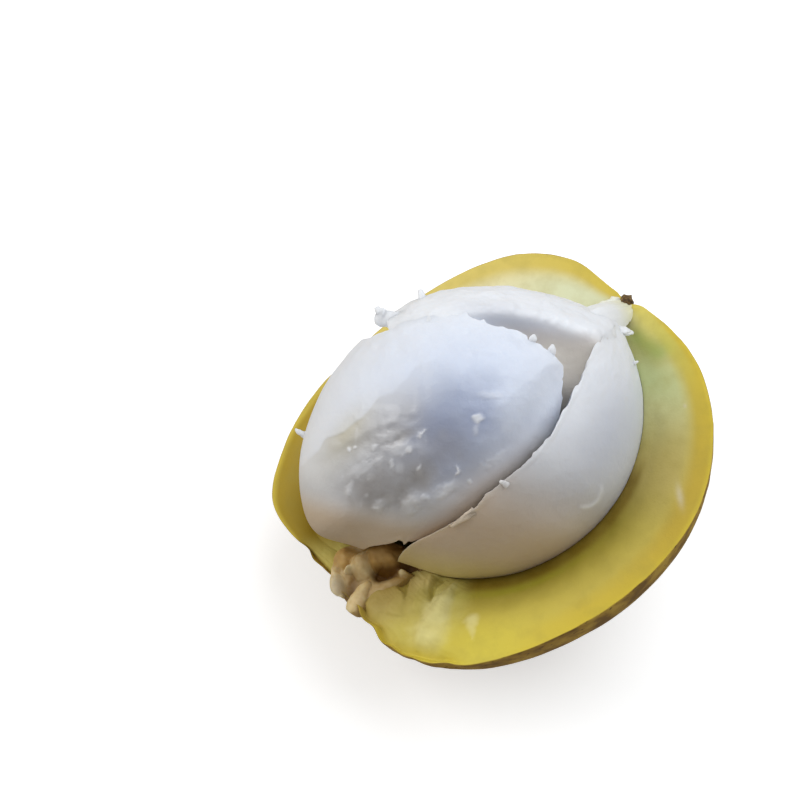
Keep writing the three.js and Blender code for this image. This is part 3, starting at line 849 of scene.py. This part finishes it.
# start, bend and end in the half's frame, the widths on the way, and how far to the rim they are
PRONGS = [
    ((36.8, -2.2, 8.8), (38.2, -3.1, 7.8), (39.2, -3.3, 6.6), (0.9, 1.1, 1.0, 0.6), 0.2),
    ((36.9, -1.4, 6.8), (38.9, -2.6, 5.4), (40.0, -2.7, 4.2), (0.9, 1.0, 0.8, 0.45), 0.2),
    ((39.6, 8.6, 2.2), (42.6, 9.2, 1.0), (45.4, 8.8, -1.2), (1.2, 1.3, 1.3, 0.9), 0.7),
]


def cubic(points, t):
    """The cubic Bezier curve with the four points as its control points."""
    a, b, c, d = (np.asarray(p, float) for p in points)
    t = t[:, None]
    return (1 - t) ** 3 * a + 3 * t * (1 - t) ** 2 * b + 3 * t**2 * (1 - t) * c + t**3 * d


def web_grid(left, crest, right, thick, rows=56, columns=72):
    """Rings that go over the top from the left edge to the right one, and back underneath."""
    t = np.linspace(0, 1, rows)
    turn = np.arange(columns) * 2 * np.pi / columns
    v = -np.cos(turn)
    low, middle, high = cubic(left, t), cubic(crest, t), cubic(right, t)
    half, rise = (high - low) / 2, (high + low) / 2 - middle
    grid = middle[:, None] + v[:, None] * half[:, None] + (v**2)[:, None] * rise[:, None]
    fibres = soft_noise(on_plane(v * 9, t[:, None] * 3), 1.0, 91)
    fibres += 0.6 * soft_noise(on_plane(v * 20, t[:, None] * 5), 1.0, 92)
    over = np.sin(turn)
    grid[..., Z] += np.where(over > 0, 0.5 * over * fibres, 0) + np.minimum(over, 0) * thick
    grid += 0.3 * (np.abs(v) ** 6)[:, None] * soft_noise(grid, 1.5, 93)[..., None]
    grid[0], grid[-1] = grid[0].mean(0), grid[-1].mean(0)
    return grid


neck_grids = [web_grid(NECK_LEFT, NECK_CREST, NECK_RIGHT, NECK_THICKNESS)]
to_rim = [np.linspace(0, 1, len(neck_grids[0]))[:, None] + 0 * neck_grids[0][..., X]]
for n, (*path, widths, share) in enumerate(PRONGS):
    neck_grids.append(strand(path, widths, flat=0.5, rows=24, columns=28, seed=95 + n, fibre=0.1))
    to_rim.append(np.full(neck_grids[-1].shape[:2], share))
neck = closed_surface("neck_strands", [from_half(grid) for grid in neck_grids], {"to_rim": to_rim})

# %% [markdown]
# ## Torn tissue
# At the other end the pulp was tied to the rind too. There the pull left a crumpled patch: a brown
# dome, paler lumps beside it, a grey one on the rim and a thin flap. Separate lumps would look like
# pebbles, so the patch is one surface: at every point it takes the softened highest of several domes.

# %% Patch of torn tissue
TISSUE_MIDDLE = (-37.6, -2.8)
TISSUE_OUTLINE = [
    (-24.6, -8.4), (-27.6, -2.0), (-32.5, 2.6), (-36.4, 6.2), (-40.6, 6.6), (-44.0, 3.6), (-46.8, 0.2),
    (-47.2, -4.6), (-48.2, -8.6), (-44.8, -10.8), (-40.6, -10.4), (-37.4, -11.0), (-33.8, -11.6),
    (-27.2, -11.6),
]
# place, direction, half length and half width of each dome in the half's frame, how high its top
# is, how flat it is (0.5 is round) and its tone: 0 is brown, 1 is pale, 2 is grey
TISSUE_DOMES = [
    ((-32.0, -3.6), -50, 5.8, 4.2, 2.4, 0.6, 0.0), ((-37.3, -1.6), 48, 3.5, 2.9, 1.7, 0.5, 0.7),
    ((-39.7, -0.8), -40, 1.8, 1.3, 0.8, 0.7, 1.1), ((-38.8, 3.2), -60, 4.2, 3.0, -0.3, 0.7, 0.1),
    ((-44.3, -1.0), 70, 3.2, 2.2, -0.8, 0.6, 1.9), ((-42.6, 2.4), 50, 2.6, 1.9, -1.0, 0.7, 0.5),
    ((-42.5, -7.0), 28, 4.2, 2.1, -0.1, 0.35, 0.7), ((-31.4, -9.0), -62, 2.6, 0.8, -0.5, 0.7, 0.9),
    ((-46.0, -4.4), 80, 1.8, 1.3, -1.4, 0.7, 1.3),
]
GREY_DOME, FLAP, FINGER = 5, 7, 8  # their numbers in the list, counted from 1
BASE_TONE = 0.2
DOME_FLOOR, BURIED = -3.6, -6.5  # heights that the domes start from, and of the patch's edge
DOME_SHARPNESS = 1.8  # how narrow the blend between two domes is
# hollows under the domes, sunk and darkened as painted shade: start, end and half width
TISSUE_PITS = [((-35.8, -5.5), (-31.3, -7.4), 1.35), ((-29.8, -8.8), (-29.2, -9.8), 1.1)]
TISSUE_FACET = ((-42.0, -3.6), 30, 3.2, 1.7)


def highest(levels, sharp):
    """The softened maximum, log of the sum of exp(sharp * level) over sharp, and each level's share."""
    top = levels.max(0)
    powers = np.exp(sharp * (levels - top))
    return top + np.log(powers.sum(0)) / sharp, powers / powers.sum(0)


def inside_skin(x, y, z, overhang):
    """How much a point must move inwards so that it stands out from the rind's skin by no more than
    the overhang, as a factor on x and y."""
    height = np.minimum(0, -8 + 1.65 * (z + 8))
    allowed = np.sqrt(FRUIT_RADIUS**2 - (CUT_BELOW_MIDDLE - height) ** 2)
    allowed *= 1 + rim_swell(np.arctan2(y, x)) * (allowed / FRUIT_RADIUS) ** 2
    return np.minimum(1, (allowed + overhang) / np.hypot(x, y))


def tissue_grid(rows=(120, 20), columns=300):
    """A ball whose equator is pulled to the outline. The upper side is the highest dome, falling to
    the buried edge, and its shares are those of tone, crease and dull edge; crease is painted shade
    in the pits, on the sunk facet and at the foot of the domes."""
    rim = closed_curve(TISSUE_OUTLINE, columns)
    turn = pole_to_pole(rows, columns)
    reach = np.sin(turn)
    x, y = (TISSUE_MIDDLE[k] + reach * (rim[:, k] - TISSUE_MIDDLE[k]) for k in (X, Y))
    place = on_plane(x, y)
    wobble_x, wobble_y = (
        0.8 * soft_noise(place, 2.8, seed) + 0.3 * soft_noise(place, 1.1, seed) for seed in (121, 122)
    )
    base = -2.2 + 0.4 * soft_noise(place, 2, 123)
    levels = [base]
    for spot, degrees, long, short, top, flat, _ in TISSUE_DOMES:
        along, across = along_across(x + wobble_x, y + wobble_y, spot, degrees)
        inside = np.clip(1 - (along / long) ** 2 - (across / short) ** 2, 0, 1)
        levels.append(DOME_FLOOR + (top - DOME_FLOOR) * inside**flat)
    surface, parts = highest(np.array(levels), DOME_SHARPNESS)
    tone = sum(part * tone for part, tone in zip(parts, [BASE_TONE] + [dome[-1] for dome in TISSUE_DOMES]))
    facet = oval(x + wobble_x, y + wobble_y, *TISSUE_FACET) * (1 - parts[FLAP])
    pit = np.clip(1.4 * sum(stroke(x, y, *spot) for spot in TISSUE_PITS), 0, 1)
    pit *= soft_step(surface, 1.6, 0.2) * (1 - parts[FINGER])
    # painted shade: the crease share darkens the pits, the sunk facet and the foot of each dome
    crease = np.clip(pit + 0.7 * facet + 0.15 * soft_step(surface - base, 1.3, 0.4), 0, 1)
    surface += 0.18 * layered_noise(place, 2.2, 124) - 1.5 * pit - 0.7 * facet
    edge = soft_step(reach, 0.66, 0.86) * soft_step(y, -4, -9) * (1 - parts[FLAP]) * (1 - pit)
    upper = surface + (BURIED - surface) * soft_step(reach, 0.84, 1)
    lower = BURIED - 1.5 * np.sqrt(np.clip(1 - reach**2, 0, 1))
    z = np.where(turn <= np.pi / 2 + 1e-9, upper, lower)
    outermost = np.clip(parts[GREY_DOME] + parts[FLAP], 0, 1) * soft_step(z, -5, -2.5)
    inwards = inside_skin(x, y, z, 0.6 * soft_step(z, -5, -3) - 0.4 + 1.6 * outermost)
    return points_at(x * inwards, y * inwards, z), {"tone": [tone], "crease": [crease], "edge": [edge]}


tissue_points, tissue_shares = tissue_grid()
tissue = closed_surface("torn_tissue", [from_half(tissue_points)], tissue_shares)

# %% [markdown]
# ## Finishes
# Each finish is a small net of nodes. Colours are mixed by the shares stored on the meshes, and
# fine grain comes from noise on Object coordinates.


# %% Helpers for nodes
def srgb(red, green, blue):
    """A colour given as on a screen, 0 to 255, made linear by the power 2.2."""
    return tuple((channel / 255) ** 2.2 for channel in (red, green, blue)) + (1.0,)


class Finish:
    """A material with one Principled shader, and short calls that add nodes to it."""

    def __init__(self, name, **sockets):
        self.material = bpy.data.materials.new(name)
        self.material.use_nodes = True
        self.nodes = self.material.node_tree.nodes
        self.links = self.material.node_tree.links
        self.shader = self.nodes["Principled BSDF"]
        self.place = self.nodes.new("ShaderNodeTexCoord").outputs["Object"]
        for socket, value in sockets.items():
            self.put(socket.replace("_", " "), value)

    def wire(self, value, socket):
        """A number or colour is set, and another node's output is linked."""
        if isinstance(value, (int, float, tuple)):
            socket.default_value = value
        else:
            self.links.new(value, socket)

    def put(self, socket, value):
        """The value of one of the shader's sockets."""
        self.wire(value, self.shader.inputs[socket])

    def share(self, name):
        """The share of that name that is stored on the mesh."""
        node = self.nodes.new("ShaderNodeAttribute")
        node.attribute_name = name
        return node.outputs["Fac"]

    def noise(self, size_mm, detail=2.0):
        """Noise of that size, 0 to 1, with more octaves as detail goes up."""
        node = self.nodes.new("ShaderNodeTexNoise")
        node.inputs["Scale"].default_value = 1 / (size_mm * MM)
        node.inputs["Detail"].default_value = detail
        self.links.new(self.place, node.inputs["Vector"])
        return node.outputs["Fac"]

    def ramp(self, value, *stops):
        """Colours or greys at their positions, blended in a straight line between them."""
        node = self.nodes.new("ShaderNodeValToRGB")
        elements = node.color_ramp.elements
        while len(elements) < len(stops):
            elements.new(0.5)
        for element, (position, colour) in zip(elements, stops):
            element.position = position
            element.color = srgb(*colour) if isinstance(colour, tuple) else (colour, colour, colour, 1)
        self.links.new(value, node.inputs["Fac"])
        return node.outputs["Color"]

    def mix(self, factor, first, second):
        """(1 - factor) * first + factor * second."""
        node = self.nodes.new("ShaderNodeMix")
        node.data_type = "RGBA"
        for value, socket in zip((factor, first, second), (node.inputs["Factor"], *node.inputs[6:8])):
            self.wire(value, socket)
        return node.outputs[2]

    def calculate(self, operation, *values):
        """A sum with one, two or three values, by the name that the Math node gives it."""
        node = self.nodes.new("ShaderNodeMath")
        node.operation = operation
        for value, socket in zip(values, node.inputs):
            self.wire(value, socket)
        return node.outputs[0]

    def span(self, value, low, high, lowest=0.0):
        """lowest at low and 1 at high, held between them."""
        node = self.nodes.new("ShaderNodeMapRange")
        self.wire(value, node.inputs["Value"])
        for socket, number in (("From Min", low), ("From Max", high), ("To Min", lowest)):
            node.inputs[socket].default_value = number
        return node.outputs["Result"]

    def tints(self, colour, layers):
        """Tints laid over a colour one by one, each mixed in by its share times its strength."""
        for name, strength, tint in layers:
            share = self.share(name)
            if strength != 1:
                share = self.calculate("MULTIPLY", share, strength)
            colour = self.mix(share, colour, srgb(*tint) if isinstance(tint, tuple) else tint)
        return colour

    def bump(self, size_mm, detail, depth_mm):
        """Fine grain of that size, as a change of the normal."""
        node = self.nodes.new("ShaderNodeBump")
        node.inputs["Strength"].default_value = 1.0
        node.inputs["Distance"].default_value = depth_mm * MM
        self.links.new(self.noise(size_mm, detail), node.inputs["Height"])
        self.put("Normal", node.outputs["Normal"])

    def cover(self, *pieces):
        """The finish goes onto the pieces."""
        for piece in pieces:
            piece.data.materials.append(self.material)


# %% [markdown]
# ## The rind's finish
# The skin is a dull yellow brown with darker specks, and the flesh is ochre: greener at the stalk,
# cream at the back, and brown where it was torn, there darkened further as painted shade. Other
# tints paint light and shade on the flesh too. They could be two materials, but the rind is one
# piece with a soft border, so one net mixes both by inward, the share that is 0 on the skin.

# %% Finish of the rind
# share, strength and colour of each tint of the flesh, from the lowest layer to the top one. Some
# are painted light, beside the pulp's tip, on the raised torn ridges and on two sunlit sides, and
# some painted shade, on the shaded side, in the grooves, at the edge of the hollow and under the pulp
FLESH_TINTS = [
    ("cream", 1.0, (238, 228, 186)), ("pale_green", 1.0, (212, 214, 176)), ("amber", 0.6, (180, 150, 58)),
    ("pale_side", 0.9, (204, 202, 146)), ("tan", 0.8, (184, 166, 98)), ("green", 0.8, (190, 200, 142)),
    ("olive", 0.8, (196, 186, 90)), ("deep_green", 0.7, (146, 166, 84)), ("shaded", 0.75, (154, 124, 18)),
    ("torn", 0.6, (206, 196, 112)), ("painted_sunlight", 1.0, (208, 191, 74)), ("khaki", 0.9, (168, 145, 84)),
    ("painted_light_by_tip", 0.9, (244, 228, 152)), ("brown", 0.85, (150, 112, 50)),
    ("ridge_top_painted_light", 0.5, (232, 224, 166)), ("groove", 0.55, (160, 148, 58)), ("painted_shadow_under_pulp", 0.75, (112, 88, 18)),
    ("olive_margin_and_shade", 0.5, (150, 146, 36)), ("sunlit_side", 0.8, (220, 208, 112)), ("scar", 0.6, (214, 204, 178)),
]
rind_finish = Finish("rind", Roughness=0.6, Specular_IOR_Level=0.25)
blotches = rind_finish.noise(5, 3)
skin = rind_finish.ramp(blotches, (0.35, (120, 92, 48)), (0.5, (160, 128, 58)), (0.65, (182, 152, 70)))
specks = rind_finish.span(rind_finish.noise(1.1, 2), 0.62, 0.72)
skin = rind_finish.mix(specks, skin, srgb(96, 72, 42))
inner = rind_finish.share("inward")
wander = rind_finish.calculate("MULTIPLY_ADD", rind_finish.noise(3, 2), 0.12, -0.06)
flesh = rind_finish.ramp(
    rind_finish.calculate("ADD", inner, wander),
    (0.0, (202, 178, 58)), (0.2, (202, 178, 66)), (0.42, (194, 175, 80)), (0.62, (186, 168, 76)),
    (1.0, (150, 134, 48)),
)
flesh = rind_finish.tints(flesh, FLESH_TINTS)
mottle = rind_finish.calculate("MULTIPLY", rind_finish.span(rind_finish.noise(4, 4), 0.45, 0.7), 0.22)
flesh = rind_finish.mix(mottle, flesh, srgb(160, 144, 66))
cut = rind_finish.span(inner, 0.0, 0.012)
rind_finish.put("Base Color", rind_finish.mix(cut, skin, flesh))
rind_finish.bump(0.6, 3, 0.05)
rind_finish.cover(rind)

# %% [markdown]
# ## The finishes of the soft pieces and the stub
# Moist pulp lets light in a little way and softens its own shadows, which subsurface scattering
# does. Over the seed it turns blue and grey, and is smoother and shinier. The strands and the torn
# tissue are soft too and let light in, while the stub is dry and dull, so it has none of that.

# %% Finish of the pulp
WHITE_SPREAD = (1.0, 0.9, 0.85)  # how far red, green and blue light spread in it, side by side
pulp_finish = Finish("pulp", Subsurface_Weight=0.35, Subsurface_Scale=0.004, Subsurface_Radius=WHITE_SPREAD)
white = pulp_finish.mix(pulp_finish.noise(6), srgb(234, 236, 240), srgb(226, 229, 236))
seed = pulp_finish.mix(pulp_finish.share("seed_grey"), srgb(140, 150, 178), srgb(168, 168, 172))
# Painted light and shade among these tints: the veil darkens the tops that face the lamp and blues them,
# the low one is warm painted shade on the lower sides and in the hollow, the glow is painted yellow light
# from the rind, and the pockets are partly painted shade. On the right and back segments the seed's
# blue-grey is painted shade too.
pulp_finish.put("Base Color", pulp_finish.tints(white, [
    ("bluish_veil_and_shade", 1, (205, 214, 232)), ("seed", 1, seed), ("dark_pockets_and_shade", 1, (138, 133, 130)),
    ("low", 1, (193, 174, 151)), ("glow", 1, (206, 190, 120)), ("fleck", 1, (224, 225, 228)),
]))
pulp_finish.put("Roughness", pulp_finish.ramp(pulp_finish.share("seed"), (0.0, 0.45), (1.0, 0.28)))
pulp_finish.bump(1.3, 4, 0.1)
pulp_finish.cover(*segments.values())

# %% Finishes of strands, torn tissue and stub
strand_finish = Finish(
    "strands", Roughness=0.45,
    Subsurface_Weight=0.3, Subsurface_Scale=0.003, Subsurface_Radius=WHITE_SPREAD,
)
strand_finish.put("Base Color", strand_finish.ramp(
    strand_finish.share("to_rim"), (0.0, (232, 234, 239)), (0.5, (232, 234, 234)), (1.0, (224, 220, 178)),
))
strand_finish.bump(0.8, 3, 0.1)
strand_finish.cover(neck)

tissue_finish = Finish(
    "torn_tissue", Roughness=0.5, Specular_IOR_Level=0.3,
    Subsurface_Weight=0.3, Subsurface_Scale=0.003, Subsurface_Radius=(1.0, 0.8, 0.5),
)
uneven_tone = tissue_finish.calculate("ADD", tissue_finish.share("tone"), tissue_finish.noise(2.5, 2))
lumps = tissue_finish.ramp(
    tissue_finish.span(uneven_tone, 0.2, 2.6),
    (0.0, (162, 122, 62)), (0.25, (190, 156, 96)), (0.5, (226, 206, 158)), (1.0, (180, 170, 150)),
)
# the crease tint is painted shade
tissue_finish.put("Base Color", tissue_finish.tints(
    lumps, [("crease", 1, (94, 62, 14)), ("edge", 1, (150, 122, 66))],
))
tissue_finish.bump(0.8, 2, 0.06)
tissue_finish.cover(tissue)

stub_finish = Finish("stub", Roughness=0.8)
stub_finish.put("Base Color", stub_finish.ramp(
    stub_finish.noise(0.7, 3), (0.35, (60, 42, 24)), (0.55, (104, 80, 44)), (0.7, (134, 108, 66)),
))
stub_finish.bump(0.4, 3, 0.15)
stub_finish.cover(stub)

# %% Riding and replacing
for piece, node, slot in (
    (rind, "rind_half", "rind"),
    (stub, "stalk_stub", "stalk"),
    (segments["pulp_front"], "pulp_segment_front", "pulp_front"),
    (segments["pulp_right"], "pulp_segment_right", "pulp_right"),
    (segments["pulp_back"], "pulp_segment_back", "pulp_back"),
    (neck, "pulp_neck", "strands"),
    (tissue, "placenta_remnant", "torn_tissue"),
):
    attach(piece, "root")
    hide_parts(node)

# %% [markdown]
# ## Camera and light
# A long lens looks down steeply on the half, as somebody at a table does. Two wide round lamps stand
# for windows, one behind on the right and one on the left, so that the shadows are soft. The floor
# and the backdrop look white, but only to the camera, so they throw less light on the fruit.

# %% Camera
CAMERA_DISTANCE = 400.0
VIEW_ELEVATION = np.radians(63)  # of the line from the middle of the cut face to the camera
AIM_AZIMUTH, AIM_ELEVATION = np.radians(6.12), np.radians(61.57)  # the camera looks a little past it
SENSOR_WIDTH, FOCAL_LENGTH = 36, 82.57
camera_data = bpy.data.cameras.new("camera")
camera_data.sensor_width = SENSOR_WIDTH
camera_data.lens = FOCAL_LENGTH
camera = bpy.data.objects.new("camera", camera_data)
bpy.context.scene.collection.objects.link(camera)
towards = np.array([0, -np.cos(VIEW_ELEVATION), np.sin(VIEW_ELEVATION)])
camera.location = Vector((CUT_MIDDLE + CAMERA_DISTANCE * towards) * MM)
camera.rotation_euler = (np.pi / 2 - AIM_ELEVATION, 0, AIM_AZIMUTH)
bpy.context.scene.camera = camera

# %% Light, floor and backdrop
LAMP_TARGET = Vector((0, 0, 0.03))
# place and size in metres, power in watts, and colour
LAMPS = {
    "window": ((0.46, 0.36, 0.80), 1.3, 7.5, (0.93, 0.965, 1.0)),
    "side_window": ((-0.75, 0.10, 0.58), 0.7, 3.9, (1.0, 0.99, 0.97)),
}
FLOOR_SIZE = 6
BACKDROP_LIGHT = 0.41  # on the fruit, where 1 is what the camera sees
for name, (place, size, power, colour) in LAMPS.items():
    lamp_data = bpy.data.lights.new(name, "AREA")
    lamp_data.shape = "DISK"
    lamp_data.size = size
    lamp_data.energy = power
    lamp_data.color = colour
    lamp = bpy.data.objects.new(name, lamp_data)
    lamp.location = place
    lamp.rotation_euler = (LAMP_TARGET - Vector(place)).to_track_quat("-Z", "Y").to_euler()
    bpy.context.scene.collection.objects.link(lamp)

bpy.ops.mesh.primitive_plane_add(size=FLOOR_SIZE)
floor = bpy.context.object
floor.name = "floor"
floor_finish = Finish("floor", Roughness=0.9, Emission_Color=(1, 1, 1, 1))
seen = floor_finish.nodes.new("ShaderNodeLightPath").outputs["Is Camera Ray"]
floor_finish.put("Base Color", floor_finish.mix(seen, srgb(170, 158, 135), srgb(250, 250, 250)))
distance = floor_finish.nodes.new("ShaderNodeVectorMath")
distance.operation = "LENGTH"
floor_finish.links.new(floor_finish.place, distance.inputs[0])
glow = floor_finish.span(distance.outputs["Value"], 0.1, 0.6, lowest=0.35)
floor_finish.put("Emission Strength", floor_finish.calculate("MULTIPLY", seen, glow))
floor_finish.cover(floor)

world = bpy.data.worlds.new("studio")
bpy.context.scene.world = world
world.use_nodes = True
background = world.node_tree.nodes["Background"]
background.inputs["Color"].default_value = (1, 1, 1, 1)
light_path = world.node_tree.nodes.new("ShaderNodeLightPath")
strength = world.node_tree.nodes.new("ShaderNodeMix")
strength.inputs[2].default_value = BACKDROP_LIGHT
strength.inputs[3].default_value = 1.0
world.node_tree.links.new(light_path.outputs["Is Camera Ray"], strength.inputs["Factor"])
world.node_tree.links.new(strength.outputs[0], background.inputs["Strength"])

bpy.context.scene.view_settings.view_transform = "Standard"
